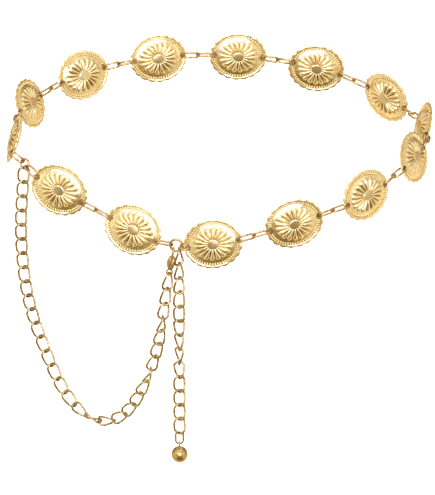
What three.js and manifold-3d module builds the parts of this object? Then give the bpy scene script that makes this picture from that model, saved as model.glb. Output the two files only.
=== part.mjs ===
import * as THREE from 'three';
import { mergeVertices } from 'three/addons/utils/BufferGeometryUtils.js';
import Module from 'manifold-3d';

// A layered chain belt, held in the closed shape in which it is worn. Millimetres, +Z up.
// The origin is the middle of the waist ring and the fastening is at the front, towards -Y.

const wasm = await Module();
wasm.setup();

const up = new THREE.Vector3(0, 0, 1);
const down = new THREE.Vector3(0, 0, -1);
const front = new THREE.Vector3(0, -1, 0);

// Oval disc with the same raised face on both sides. dome is the height of the middle over the
// edge, and domeEdge, scallopDepth and petalSwell are fractions of the disc's half size.
const concho = {
  halfWidth: 18,
  halfHeight: 15.1,
  halfEdge: 0.38,
  dome: 2.1,
  domeEdge: 0.84,
  holeFrom: 15.2,
  holeRadius: 1.7,
  drillSides: 8,
  drillLength: 12,
  petals: 18,
  scallops: 20,
  scallopDepth: 0.045,
  petalSwell: 0.025,
};

// A face of the disc from the middle outwards: where each ring lies, its number of points,
// how far it rises from the dome, and the height of the petal wave on it.
const faceRings = [
  { at: 0.19, points: 18, rise: 0.3, wave: 0 },
  { at: 0.46, points: 36, rise: 0.15, wave: 0.4 },
  { at: 0.63, points: 36, rise: 0.05, wave: 0.3 },
  { at: 0.84, points: 40, rise: 0.15, wave: 0 },
  { at: 1, points: 40, rise: 0, wave: 0 },
];

// Where each disc sits round the waist, from the front middle towards +X and round the back.
// lean turns its top inwards, in degrees.
const stations = [
  { x: -7.1, y: -85.9, z: -33.3, lean: 12 },
  { x: 44.1, y: -83.7, z: -19.2, lean: 6 },
  { x: 82.7, y: -62.8, z: -12.5, lean: 10 },
  { x: 114.2, y: -23.7, z: -3.1, lean: 18 },
  { x: 123.1, y: 19.6, z: -2.8, lean: -18 },
  { x: 106.4, y: 65.6, z: -4.7, lean: 0 },
  { x: 74.6, y: 84.6, z: 6.1, lean: -4 },
  { x: 24, y: 80.8, z: 19.7, lean: -8 },
  { x: -33.4, y: 74.1, z: 23.6, lean: -12 },
  { x: -87.9, y: 56.7, z: 18.9, lean: -18 },
  { x: -119.7, y: 21.9, z: 13.9, lean: -23 },
  { x: -126.4, y: -16.2, z: 16.1, lean: 19 },
  { x: -124.2, y: -52.4, z: 6.9, lean: 12 },
  { x: -60.5, y: -75.4, z: -24.8, lean: 17 },
];

// The fastening hangs a little lower than the discs on both sides of it.
const fasteningSag = { x: -32.6, y: -83, z: -35.4 };

// Round-wire parts. Lengths and widths are between the middles of the wire.
const clearance = 0.3;
const gapBetweenHoles = 19.7;
const swagGap = 23.5;
const kinkBehind = 0.5;

// The walk round the waist starts at the left hole of the first disc, at this share of the
// turn, and halves its steps this many times. No chord is longer than longestStep of a turn.
const walk = { startTurn: 0.961, longestStep: 0.08, halvings: 40 };
const ovalLink = { wire: 1.1, width: 4.7, pointsPerEnd: 4, sides: 4, roll: 62, tilt: 20 };
const frontLinkLength = 10.2;
const fasteningRoll = 62;
const claspRing = { wire: 1.1, width: 7.6, length: 7.6, pointsPerEnd: 6, sides: 5 };
const swagRing = { wire: 1.1, width: 6, length: 6, pointsPerEnd: 6, sides: 5, roll: -20 };
const curbLink = { wire: 1.1, width: 6.4, pitch: 9.3, pointsPerEnd: 4, sides: 4, twist: 45, bite: 0.35 };

// The swag ring sits between the two links before this disc, where the gap is swagGap.
const swagDisc = 13;

// The swag is one curb chain, cut into stretches of a few links, from the left side to the clasp.
const swagStretches = [6, 5, 4, 4, 4, 4, 5];
const swagPath = [
  { x: -123, y: -52, z: -40 },
  { x: -120, y: -51, z: -80 },
  { x: -113, y: -51, z: -108 },
  { x: -97, y: -58, z: -145 },
  { x: -84, y: -64, z: -157 },
  { x: -73, y: -68.5, z: -158.5 },
  { x: -62, y: -73, z: -151.5 },
  { x: -50, y: -78.5, z: -131 },
  { x: -41, y: -83, z: -102 },
  { x: -37, y: -87, z: -75 },
];
const swagRolls = [
  { link: 0, roll: 0 },
  { link: 13, roll: 0 },
  { link: 15, roll: 50 },
  { link: 17, roll: 0 },
  { link: 19, roll: 45 },
  { link: 21, roll: 0 },
  { link: 23, roll: 50 },
  { link: 25, roll: 0 },
  { link: 27, roll: 50 },
  { link: 29, roll: 20 },
  { link: 31, roll: 50 },
];

// The tail hangs straight down from the clasp ring.
const tailStretches = [5, 4, 4];
const tailRolls = [
  { link: 0, roll: -60 },
  { link: 1, roll: -50 },
  { link: 4, roll: 0 },
  { link: 6, roll: 50 },
  { link: 7, roll: 60 },
  { link: 9, roll: 0 },
  { link: 12, roll: 0 },
];
const tailEndLink = { wire: 1, width: 3.8, length: 8.2, pointsPerEnd: 5, sides: 6 };

// How far round the clasp ring from its lowest point the two hang, in degrees.
const claspTurn = -22;
const tailTurn = 30;

// The lobster clasp leans away from the tail beside it: to the left and forwards, in degrees.
const lobster = {
  leanLeft: 10,
  leanForward: 8,
  loop: { wire: 1.2, width: 4.4, length: 7, pointsPerEnd: 5, sides: 6 },
  body: [
    { radius: 0.9, drop: 3.6 },
    { radius: 1.8, drop: 5 },
    { radius: 2.2, drop: 7 },
    { radius: 1.8, drop: 10 },
    { radius: 0.9, drop: 12.6 },
  ],
  bodySides: 10,
  eye: { wire: 1.1, width: 3.2, length: 3.6, pointsPerEnd: 4, sides: 5, drop: 12 },
};

const ball = {
  radius: 5,
  below: 7.1,
  around: 14,
  rows: 9,
  eye: { wire: 0.9, width: 3, length: 3.4, pointsPerEnd: 4, sides: 5 },
};

const gold = { color: 0xd9b06a, metalness: 1, roughness: 0.24 };
const warmGold = { color: 0xd2a458, metalness: 1, roughness: 0.28 };

const radians = THREE.MathUtils.degToRad;

// A frame whose x runs along, whose y is as near upHint as it can be, turned by roll about x.
function frameAt(origin, along, upHint, roll = 0) {
  const x = along.clone().normalize();
  const y = upHint.clone().addScaledVector(x, -upHint.dot(x)).normalize();
  y.applyAxisAngle(x, radians(roll));
  const z = x.clone().cross(y);
  return new THREE.Matrix4().makeBasis(x, y, z).setPosition(origin);
}

function meshGeometry(positions, triangles) {
  const geometry = new THREE.BufferGeometry();
  geometry.setAttribute('position', new THREE.Float32BufferAttribute(positions, 3));
  geometry.setIndex(triangles);
  return geometry;
}

function toSolid(geometry) {
  const bare = geometry.clone();
  bare.deleteAttribute('normal');
  bare.deleteAttribute('uv');
  const merged = mergeVertices(bare);
  const vertProperties = new Float32Array(merged.attributes.position.array);
  const triVerts = new Uint32Array(merged.index.array);
  return new wasm.Manifold(new wasm.Mesh({ numProp: 3, vertProperties, triVerts }));
}

function toGeometry(solid) {
  const mesh = solid.getMesh();
  return meshGeometry(Array.from(mesh.vertProperties), Array.from(mesh.triVerts));
}

function joined(geometries) {
  return toGeometry(geometries.map(toSolid).reduce((sum, piece) => sum.add(piece)));
}

// Joins two rings of points that may differ in number. Each ring starts at the same angle.
function bridge(triangles, from, to) {
  let i = 0;
  let j = 0;
  while (i < from.length || j < to.length) {
    const a = from[i % from.length];
    const b = to[j % to.length];
    if ((i + 1) / from.length <= (j + 1) / to.length) {
      triangles.push(a, b, from[(i + 1) % from.length]);
      i += 1;
    } else {
      triangles.push(a, b, to[(j + 1) % to.length]);
      j += 1;
    }
  }
}

// A closed loop of wire round a list of centres. outwards gives the side of each centre that
// faces away from the loop's middle.
function wireLoop(centres, outwards, radius, sides) {
  const positions = [];
  const triangles = [];
  const count = centres.length;
  const rings = centres.map((centre, k) => {
    const next = centres[(k + 1) % count];
    const last = centres[(k + count - 1) % count];
    const along = next.clone().sub(last).normalize();
    const out = outwards[k].clone().addScaledVector(along, -outwards[k].dot(along)).normalize();
    const side = along.clone().cross(out);
    return Array.from({ length: sides }, (_, s) => {
      const angle = (2 * Math.PI * s) / sides;
      const point = centre.clone();
      point.addScaledVector(out, radius * Math.cos(angle));
      point.addScaledVector(side, radius * Math.sin(angle));
      positions.push(...point.toArray());
      return positions.length / 3 - 1;
    });
  });
  rings.forEach((ring, k) => bridge(triangles, rings[(k + 1) % count], ring));
  return meshGeometry(positions, triangles);
}

// An oval wire loop from x = 0 to x = length. twist turns the two ends opposite ways about x.
// With an even number of points its end is a short flat bar.
function ovalLoop({ wire, width, length, pointsPerEnd, sides, twist = 0 }) {
  const bend = width / 2;
  const tip = pointsPerEnd % 2 === 0 ? Math.cos(Math.PI / (2 * (pointsPerEnd - 1))) : 1;
  const centres = [];
  const outwards = [];
  for (const end of [1, -1]) {
    for (let k = 0; k < pointsPerEnd; k += 1) {
      const angle = Math.PI * (k / (pointsPerEnd - 1) - 0.5);
      const out = new THREE.Vector3(Math.cos(angle), Math.sin(angle), 0).multiplyScalar(end);
      const x = end * (length / 2 - bend) + (bend * out.x) / tip;
      const turn = radians(twist) * (x / (length / 2));
      const point = new THREE.Vector3(x, bend * out.y, 0);
      const axis = new THREE.Vector3(1, 0, 0);
      centres.push(point.applyAxisAngle(axis, turn).setX(x + length / 2));
      outwards.push(out.applyAxisAngle(axis, turn));
    }
  }
  return wireLoop(centres, outwards, wire / 2, sides);
}

// Height of the disc's face over the plane in which the links meet its holes.
function domeHeight(at) {
  const inwards = Math.min(1, at / concho.domeEdge);
  return concho.dome * (1 - inwards * inwards) + concho.halfEdge;
}

// One ring of a face. side is 1 on the outside of the belt and -1 on the inside.
function conchoRing(positions, { at, points, rise, wave }, side) {
  return Array.from({ length: points }, (_, k) => {
    const turn = (2 * Math.PI * k) / points;
    const petal = Math.cos(concho.petals * turn);
    const scallop = at === 1 ? (concho.scallopDepth * (1 - Math.cos(concho.scallops * turn))) / 2 : 0;
    const swell = wave > 0 ? concho.petalSwell * petal : 0;
    const reach = at * (1 - scallop + swell);
    const height = domeHeight(at) + rise + wave * petal;
    const x = concho.halfWidth * reach * Math.cos(turn);
    const y = concho.halfHeight * reach * Math.sin(turn);
    positions.push(x, y, side * height);
    return positions.length / 3 - 1;
  });
}

function conchoGeometry() {
  const positions = [];
  const triangles = [];
  const rings = faceRings.map((ring) => conchoRing(positions, ring, 1));
  rings.push(...faceRings.toReversed().map((ring) => conchoRing(positions, ring, -1)));
  for (let k = 1; k < rings.length; k += 1) bridge(triangles, rings[k - 1], rings[k]);
  const middle = positions.length / 3;
  const middleHeight = domeHeight(0) + faceRings[0].rise;
  positions.push(0, 0, middleHeight, 0, 0, -middleHeight);
  const [first, last] = [rings[0], rings[rings.length - 1]];
  first.forEach((point, k) => triangles.push(middle, point, first[(k + 1) % first.length]));
  last.forEach((point, k) => triangles.push(middle + 1, last[(k + 1) % last.length], point));

  let solid = toSolid(meshGeometry(positions, triangles));
  for (const side of [-1, 1]) {
    const { holeRadius, drillLength, drillSides } = concho;
    const drill = new THREE.CylinderGeometry(holeRadius, holeRadius, drillLength, drillSides);
    drill.rotateX(Math.PI / 2).translate(side * concho.holeFrom, 0, 0);
    solid = solid.subtract(toSolid(drill));
  }
  return toGeometry(solid);
}

// Finds the point one chord further on along the closed waist curve.
function stepAlong(curve, from, chord) {
  const start = curve.getPoint(from % 1);
  let low = from;
  let high = from + walk.longestStep;
  for (let k = 0; k < walk.halvings; k += 1) {
    const middle = (low + high) / 2;
    if (curve.getPoint(middle % 1).distanceTo(start) < chord) low = middle;
    else high = middle;
  }
  return high;
}

function gapAfter(disc) {
  return disc === swagDisc - 2 ? swagGap : gapBetweenHoles;
}

// The hole-to-hole chords of discs and gaps, laid end to end round the waist. The curve is
// sized so that the last chord ends where the first began.
function holesRoundWaist() {
  let low = 0.9;
  let high = 1.1;
  let turns = [];
  let curve = null;
  for (let k = 0; k < walk.halvings; k += 1) {
    const size = (low + high) / 2;
    const places = [...stations, fasteningSag];
    const points = places.map(({ x, y, z }) => new THREE.Vector3(x, y, z).multiplyScalar(size));
    curve = new THREE.CatmullRomCurve3(points, true, 'centripetal');
    turns = [walk.startTurn];
    stations.forEach((_, k) => {
      turns.push(stepAlong(curve, turns[turns.length - 1], 2 * concho.holeFrom));
      turns.push(stepAlong(curve, turns[turns.length - 1], gapAfter(k)));
    });
    if (turns[turns.length - 1] > walk.startTurn + 1) low = size;
    else high = size;
  }
  return stations.map((_, k) => ({
    left: curve.getPoint(turns[2 * k] % 1),
    right: curve.getPoint(turns[2 * k + 1] % 1),
  }));
}

function rollAt(rolls, link) {
  const after = Math.max(1, rolls.findIndex((row) => row.link >= link));
  const [a, b] = [rolls[after - 1], rolls[after]];
  return THREE.MathUtils.mapLinear(link, a.link, b.link, a.roll, b.roll);
}

// One stretch of curb chain between joints first and last, joined where its links interlock.
// Its two outer ends stand clear of what they interlock with.
function curbStretch(joints, first, last, rolls) {
  const loose = (curbLink.wire + clearance) / 2;
  const tight = (curbLink.wire - curbLink.bite) / 2;
  const links = [];
  for (let k = first; k < last; k += 1) {
    const along = joints[k + 1].clone().sub(joints[k]).normalize();
    const before = k === first ? loose : tight;
    const after = k === last - 1 ? loose : tight;
    const length = joints[k].distanceTo(joints[k + 1]) + before + after;
    const link = ovalLoop({ ...curbLink, length });
    const start = joints[k].clone().addScaledVector(along, -before);
    const side = front.clone().cross(along);
    links.push(link.applyMatrix4(frameAt(start, along, side, rollAt(rolls, k))));
  }
  return joined(links);
}

const belt = new THREE.Group();

function addPart(name, geometry, finish, matrix = new THREE.Matrix4()) {
  const mesh = new THREE.Mesh(geometry, new THREE.MeshStandardMaterial(finish));
  mesh.name = name;
  matrix.decompose(mesh.position, mesh.quaternion, mesh.scale);
  belt.add(mesh);
}

const twoDigits = (number) => String(number).padStart(2, '0');

function addConchos(holes) {
  const geometry = conchoGeometry();
  holes.forEach(({ left, right }, k) => {
    const middle = left.clone().add(right).divideScalar(2);
    const along = right.clone().sub(left);
    addPart(`concho_${twoDigits(k + 1)}`, geometry, gold, frameAt(middle, along, up, -stations[k].lean));
  });
}

// The link that leaves a disc squarely, with one side through the hole and one past the rim.
function kinkedFrame({ left, right }, along, length) {
  const inwards = left.clone().sub(right);
  const across = inwards.addScaledVector(along, -inwards.dot(along)).normalize();
  const start = right.clone().addScaledVector(across, -ovalLink.width / 2);
  start.addScaledVector(along, -kinkBehind);
  const hooked = length - ovalLink.wire - clearance;
  const ringStart = right.clone().addScaledVector(along, swagGap - hooked - swagRing.length);
  return frameAt(start, ringStart.sub(start), across);
}

// Two equal oval links, turned opposite ways, join each disc to the next. Both tilt back at
// the front of the waist and forwards at its back.
function addOvalLinks(holes) {
  const overlap = ovalLink.wire + clearance;
  const length = (gapBetweenHoles + overlap) / 2;
  for (let k = 0; k < holes.length - 1; k += 1) {
    const from = holes[k].right;
    const to = holes[k + 1].left;
    const along = to.clone().sub(from).normalize();
    const geometry = ovalLoop({ ...ovalLink, length });
    const tilt = ovalLink.tilt * along.x;
    const second = to.clone().addScaledVector(along, -length);
    const name = `link_${twoDigits(k + 1)}`;
    // Where the leans of the two discs differ much, the links swap sides to stay crossed.
    const side = stations[k + 1].lean - stations[k].lean > 30 ? -1 : 1;
    const rollA = side * ovalLink.roll - tilt - stations[k].lean;
    const rollB = -side * ovalLink.roll - tilt - stations[k + 1].lean;
    const first = k === swagDisc - 2 ? kinkedFrame(holes[k], along, length) : frameAt(from, along, up, rollA);
    addPart(`${name}_a`, geometry, warmGold, first);
    addPart(`${name}_b`, geometry, warmGold, frameAt(second, along, up, rollB));
  }
}

// Link, clasp ring and end ring close the gap between the last disc and the first.
function addFastening(holes) {
  const from = holes[holes.length - 1].right;
  const to = holes[0].left;
  const along = to.clone().sub(from).normalize();
  const overlap = (ovalLink.wire + claspRing.wire) / 2 + clearance;
  const ringStart = from.clone().addScaledVector(along, frontLinkLength - overlap);
  const endStart = ringStart.clone().addScaledVector(along, claspRing.length - overlap);
  const endLength = endStart.distanceTo(to);
  const frontLink = ovalLoop({ ...ovalLink, length: frontLinkLength });
  const endRing = ovalLoop({ ...ovalLink, length: endLength });
  addPart('front_link', frontLink, warmGold, frameAt(from, along, up, fasteningRoll));
  addPart('clasp_ring', ovalLoop(claspRing), gold, frameAt(ringStart, along, up));
  addPart('end_ring', endRing, warmGold, frameAt(endStart, along, up, -fasteningRoll));

  const radius = claspRing.length / 2;
  const middle = ringStart.clone().addScaledVector(along, radius);
  const ringUp = up.clone().addScaledVector(along, -up.dot(along)).normalize();
  return (turn) => middle.clone()
    .addScaledVector(along, radius * Math.sin(radians(turn)))
    .addScaledVector(ringUp, -radius * Math.cos(radians(turn)));
}

// The lobster clasp hangs from the clasp ring and its lower eye holds the swag.
function addLobster(hook) {
  const reach = (claspRing.wire + lobster.loop.wire) / 2 + clearance;
  const loop = ovalLoop(lobster.loop).translate(-reach, 0, 0);
  const profile = lobster.body.map(({ radius, drop }) => new THREE.Vector2(radius, -drop));
  profile.unshift(new THREE.Vector2(0, profile[0].y));
  profile.push(new THREE.Vector2(0, profile[profile.length - 1].y));
  const body = new THREE.LatheGeometry(profile.reverse(), lobster.bodySides).rotateZ(Math.PI / 2);
  const eye = ovalLoop(lobster.eye).rotateX(Math.PI / 2).translate(lobster.eye.drop, 0, 0);
  const along = down.clone();
  along.x = -Math.tan(radians(lobster.leanLeft));
  along.y = -Math.tan(radians(lobster.leanForward));
  const frame = frameAt(hook, along, front);
  addPart('lobster_clasp', joined([loop, body, eye]), gold, frame);
  return new THREE.Vector3(lobster.eye.drop + lobster.eye.length, 0, 0).applyMatrix4(frame);
}

// A jump ring between the two links at the left side carries the swag at its lowest point.
function addSwagRing(holes) {
  const from = holes[swagDisc - 2].right;
  const to = holes[swagDisc - 1].left;
  const along = to.clone().sub(from).normalize();
  const hooked = (gapBetweenHoles - ovalLink.wire - clearance) / 2;
  const start = to.clone().addScaledVector(along, -hooked - swagRing.length);
  const frame = frameAt(start, along, up, swagRing.roll);
  addPart('swag_ring', ovalLoop(swagRing), warmGold, frame);
  const facing = new THREE.Vector3().setFromMatrixColumn(frame, 2);
  const lowest = down.clone().addScaledVector(facing, -down.dot(facing)).normalize();
  const middle = start.addScaledVector(along, swagRing.length / 2);
  return middle.addScaledVector(lowest, swagRing.length / 2);
}

function addChain(name, joints, stretches, rolls) {
  let first = 0;
  stretches.forEach((count, k) => {
    const stretch = curbStretch(joints, first, first + count, rolls);
    addPart(`${name}_${twoDigits(k + 1)}`, stretch, warmGold);
    first += count;
  });
}

// A hook's wire and the chain's end wire leave the clearance between them.
function jointOn(hook, wire) {
  return hook.clone().addScaledVector(up, (wire + clearance) / 2);
}

function addSwag(leftHook, rightHook) {
  const points = swagPath.map(({ x, y, z }) => new THREE.Vector3(x, y, z));
  points.unshift(jointOn(leftHook, swagRing.wire));
  points.push(jointOn(rightHook, lobster.eye.wire));
  const curve = new THREE.CatmullRomCurve3(points, false, 'centripetal');
  const count = swagStretches.reduce((sum, links) => sum + links);
  addChain('swag', curve.getSpacedPoints(count), swagStretches, swagRolls);
}

function addTail(hook) {
  const start = jointOn(hook, claspRing.wire);
  const count = tailStretches.reduce((sum, links) => sum + links);
  const joints = Array.from({ length: count + 1 }, (_, k) => (
    start.clone().addScaledVector(down, k * curbLink.pitch)
  ));
  addChain('tail', joints, tailStretches, tailRolls);
  const loose = (tailEndLink.wire + clearance) / 2;
  const top = joints[count].clone().addScaledVector(up, loose);
  addPart('tail_end_link', ovalLoop(tailEndLink), warmGold, frameAt(top, down, new THREE.Vector3(1, 0, 0)));
  return top.addScaledVector(down, tailEndLink.length);
}

// The ball swings forwards and backwards on the straight bottom of the tail's last link.
function addBall(pivot) {
  const reach = (tailEndLink.wire + ball.eye.wire) / 2 + clearance;
  const eyeTop = pivot.clone().addScaledVector(up, reach);
  const eye = ovalLoop(ball.eye).applyMatrix4(frameAt(eyeTop, down, front));
  const sphere = new THREE.SphereGeometry(ball.radius, ball.around, ball.rows);
  sphere.rotateX(Math.PI / 2).translate(pivot.x, pivot.y, pivot.z - ball.below);
  addPart('end_ball', joined([sphere, eye]), gold);
}

const holes = holesRoundWaist();
addConchos(holes);
addOvalLinks(holes);
const onClaspRing = addFastening(holes);
const swagLeft = addSwagRing(holes);
const swagRight = addLobster(onClaspRing(claspTurn));
addSwag(swagLeft, swagRight);
addBall(addTail(onClaspRing(tailTurn)));

export default belt;
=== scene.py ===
import math

import bmesh
import bpy
import numpy as np
from mathutils import Matrix, Vector


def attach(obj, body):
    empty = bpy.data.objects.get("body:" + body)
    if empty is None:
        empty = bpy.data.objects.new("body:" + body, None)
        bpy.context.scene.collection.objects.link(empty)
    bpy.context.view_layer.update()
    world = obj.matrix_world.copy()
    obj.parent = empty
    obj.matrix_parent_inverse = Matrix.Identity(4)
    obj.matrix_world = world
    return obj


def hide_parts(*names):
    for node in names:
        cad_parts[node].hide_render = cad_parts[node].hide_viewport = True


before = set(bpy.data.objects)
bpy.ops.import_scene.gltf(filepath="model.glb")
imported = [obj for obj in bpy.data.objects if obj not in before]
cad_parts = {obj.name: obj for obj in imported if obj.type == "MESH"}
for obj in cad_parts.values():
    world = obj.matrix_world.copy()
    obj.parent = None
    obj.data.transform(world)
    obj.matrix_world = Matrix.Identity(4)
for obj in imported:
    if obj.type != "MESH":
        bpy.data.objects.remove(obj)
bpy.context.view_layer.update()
bpy.ops.object.select_all(action='DESELECT')

mm = 0.001
up = Vector((0, 0, 1))
down = Vector((0, 0, -1))
front = Vector((0, -1, 0))

# The photograph looks along +Y and down. Lengths in metres, angles in degrees.
cameraView = {
    "aim": (-0.0049, -0.0161, -0.066),
    "elevation": 24,
    "distance": 2.934,
    "lens": 350,
    "sensor": 36,
    "clipEnd": 50,
}

# The closed waist curve in millimetres. lean turns a disc's top inwards, in degrees.
waistRing = {
    "stations": [
        {"place": (-7.1, -85.9, -33.3), "lean": 12},
        {"place": (44.1, -83.7, -19.2), "lean": 6},
        {"place": (82.7, -62.8, -12.5), "lean": 10},
        {"place": (114.2, -23.7, -3.1), "lean": 18},
        {"place": (123.1, 19.6, -2.8), "lean": -18},
        {"place": (106.4, 65.6, -4.7), "lean": 0},
        {"place": (74.6, 84.6, 6.1), "lean": -4},
        {"place": (24, 80.8, 19.7), "lean": -8},
        {"place": (-33.4, 74.1, 23.6), "lean": -12},
        {"place": (-87.9, 56.7, 18.9), "lean": -18},
        {"place": (-119.7, 21.9, 13.9), "lean": -23},
        {"place": (-126.4, -16.2, 16.1), "lean": 19},
        {"place": (-124.2, -52.4, 6.9), "lean": 12},
        {"place": (-60.5, -75.4, -24.8), "lean": 17},
    ],
    "fasteningSag": (-32.6, -83, -35.4),
    "discChord": 30.4,
    "gapChord": 19.7,
    "swagDisc": 13,
    "swagGap": 23.5,
    "startTurn": 0.961,
    "longestStep": 0.08,
    "sizeRange": (0.9, 1.1),
    "halvings": 40,
}

clearance = 0.3  # between the wires of two hooked pieces, in millimetres


def frameAt(origin, along, upHint, roll=0):
    x = along.normalized()
    y = (upHint - x * upHint.dot(x)).normalized()
    y = Matrix.Rotation(math.radians(roll), 3, x) @ y
    z = x.cross(y)
    return Matrix.Translation(origin) @ Matrix((x, y, z)).transposed().to_4x4()


# A centripetal Catmull-Rom curve through the points, as the solids use it.
def curvePoint(points, turn, closed):
    count = len(points)
    where = (count if closed else count - 1) * turn
    first = min(int(math.floor(where)), count - 1 if closed else count - 2)
    weight = where - first

    def pointAt(index):
        if closed:
            return points[index % count]
        if index < 0:
            return points[0] * 2 - points[1]
        if index >= count:
            return points[-1] * 2 - points[-2]
        return points[index]

    a, b, c, d = (pointAt(first + k) for k in (-1, 0, 1, 2))
    ab, bc, cd = (math.sqrt((q - p).length) for p, q in ((a, b), (b, c), (c, d)))
    leaving = ((b - a) / ab - (c - a) / (ab + bc) + (c - b) / bc) * bc
    arriving = ((c - b) / bc - (d - b) / (bc + cd) + (d - c) / cd) * bc
    square = b * -3 + c * 3 - leaving * 2 - arriving
    cube = b * 2 - c * 2 + leaving + arriving
    return b + leaving * weight + square * weight ** 2 + cube * weight ** 3


def stepAlong(points, start, chord):
    origin = curvePoint(points, start % 1, True)
    low, high = start, start + waistRing["longestStep"]
    for _ in range(waistRing["halvings"]):
        middle = (low + high) / 2
        if (curvePoint(points, middle % 1, True) - origin).length < chord:
            low = middle
        else:
            high = middle
    return high


# Every disc's two hole places, left then right, walked round the waist. The waist curve is
# sized by halving until the walk just closes.
def holesRoundWaist():
    places = [row["place"] for row in waistRing["stations"]] + [waistRing["fasteningSag"]]
    low, high = waistRing["sizeRange"]
    for _ in range(waistRing["halvings"]):
        size = (low + high) / 2
        points = [Vector(place) * size * mm for place in places]
        turns = [waistRing["startTurn"]]
        for k in range(len(places) - 1):
            # The swag ring widens the gap before its disc.
            gap = waistRing["swagGap" if k == waistRing["swagDisc"] - 2 else "gapChord"]
            for chord in (waistRing["discChord"], gap):
                turns.append(stepAlong(points, turns[-1], chord * mm))
        if turns[-1] > waistRing["startTurn"] + 1:
            low = size
        else:
            high = size
    ends = [curvePoint(points, turn % 1, True) for turn in turns]
    return [(ends[2 * k], ends[2 * k + 1]) for k in range(len(waistRing["stations"]))]


# Points at equal lengths along an open curve.
def spacedPoints(points, count, samples=200):
    line = [curvePoint(points, k / samples, False) for k in range(samples + 1)]
    lengths = [0.0]
    for a, b in zip(line, line[1:]):
        lengths.append(lengths[-1] + (b - a).length)
    evenly = np.linspace(0, lengths[-1], count + 1)
    turns = np.interp(evenly, lengths, np.linspace(0, 1, samples + 1))
    return [curvePoint(points, float(turn), False) for turn in turns]


# A link's roll in degrees, which changes evenly between the listed links.
def rollAt(rolls, link):
    links = [row[0] for row in rolls]
    return float(np.interp(link, links, [row[1] for row in rolls]))


def onlyActive(piece):
    bpy.ops.object.select_all(action='DESELECT')
    piece.select_set(True)
    bpy.context.view_layer.objects.active = piece


def applyPlace(piece):
    onlyActive(piece)
    bpy.ops.object.transform_apply(location=True, rotation=True, scale=True)


def editPiece(piece):
    onlyActive(piece)
    bpy.ops.object.mode_set(mode='EDIT')
    bpy.ops.mesh.select_mode(type='VERT')


def leaveEdit():
    bpy.ops.object.mode_set(mode='OBJECT')


# Scales what is selected about the origin.
def growBy(x, y, z):
    bpy.ops.transform.resize(value=(x, y, z), center_override=(0, 0, 0))


# Selects the vertices for which test(vertex) is true, in edit mode.
def pick(piece, test):
    mesh = bmesh.from_edit_mesh(piece.data)
    mesh.verts.ensure_lookup_table()
    for vertex in mesh.verts:
        vertex.select = bool(test(vertex))
    mesh.select_flush_mode()
    mesh.select_flush(True)
    bmesh.update_edit_mesh(piece.data)


# True where a point's turn about its axis lies at this phase of the wave that runs round the
# axis. phase and slack are in degrees of the wave.
def atPhase(across, upward, waves, phase, slack=2):
    turn = math.degrees(math.atan2(upward, across)) * waves
    return abs((turn - phase + 180) % 360 - 180) < slack


def joinPieces(pieces, name):
    bpy.ops.object.select_all(action='DESELECT')
    for piece in pieces:
        piece.select_set(True)
    bpy.context.view_layer.objects.active = pieces[0]
    if len(pieces) > 1:
        bpy.ops.object.join()
    made = bpy.context.view_layer.objects.active
    made.name = name
    made.data.name = name
    return made


def copyOf(model, name, matrix):
    mesh = model.data.copy()
    mesh.transform(matrix)
    piece = bpy.data.objects.new(name, mesh)
    bpy.context.scene.collection.objects.link(piece)
    return piece


def applyModifier(piece, kind, **values):
    onlyActive(piece)
    modifier = piece.modifiers.new(kind.lower(), kind)
    for key, value in values.items():
        setattr(modifier, key, value)
    bpy.ops.object.modifier_apply(modifier=modifier.name)


def smoothByAngle(piece, degrees):
    onlyActive(piece)
    bpy.ops.object.shade_smooth_by_angle(angle=math.radians(degrees))


# Stores how hollow each vertex lies: 0 on ridges, 0.5 on flats and 1 in grooves. The gold
# finishes paint shade into the grooves by it. A larger reach makes fewer hollows count as grooves.
def markHollows(piece, reach, blurs=2):
    mesh = piece.data
    count = len(mesh.vertices)
    points = np.empty(count * 3)
    mesh.vertices.foreach_get("co", points)
    points = points.reshape(-1, 3)
    normals = np.empty(count * 3)
    mesh.vertices.foreach_get("normal", normals)
    normals = normals.reshape(-1, 3)
    edges = np.empty(len(mesh.edges) * 2, dtype=np.int64)
    mesh.edges.foreach_get("vertices", edges)
    a, b = edges.reshape(-1, 2).T
    away = points[b] - points[a]
    length = np.linalg.norm(away, axis=1) + 1e-9
    bend = np.zeros(count)
    near = np.zeros(count)
    np.add.at(bend, a, np.einsum("ij,ij->i", away, normals[a]) / length)
    np.add.at(bend, b, -np.einsum("ij,ij->i", away, normals[b]) / length)
    np.add.at(near, a, 1)
    np.add.at(near, b, 1)
    hollowShade = bend / np.maximum(near, 1)
    for _ in range(blurs):
        total = hollowShade.copy()
        np.add.at(total, a, hollowShade[b])
        np.add.at(total, b, hollowShade[a])
        hollowShade = total / (near + 1)
    hollowShade = np.clip(0.5 + hollowShade / reach, 0, 1)
    layer = mesh.attributes.new("hollowShade", 'FLOAT', 'POINT')
    layer.data.foreach_set("value", hollowShade.astype(np.float32))
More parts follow.
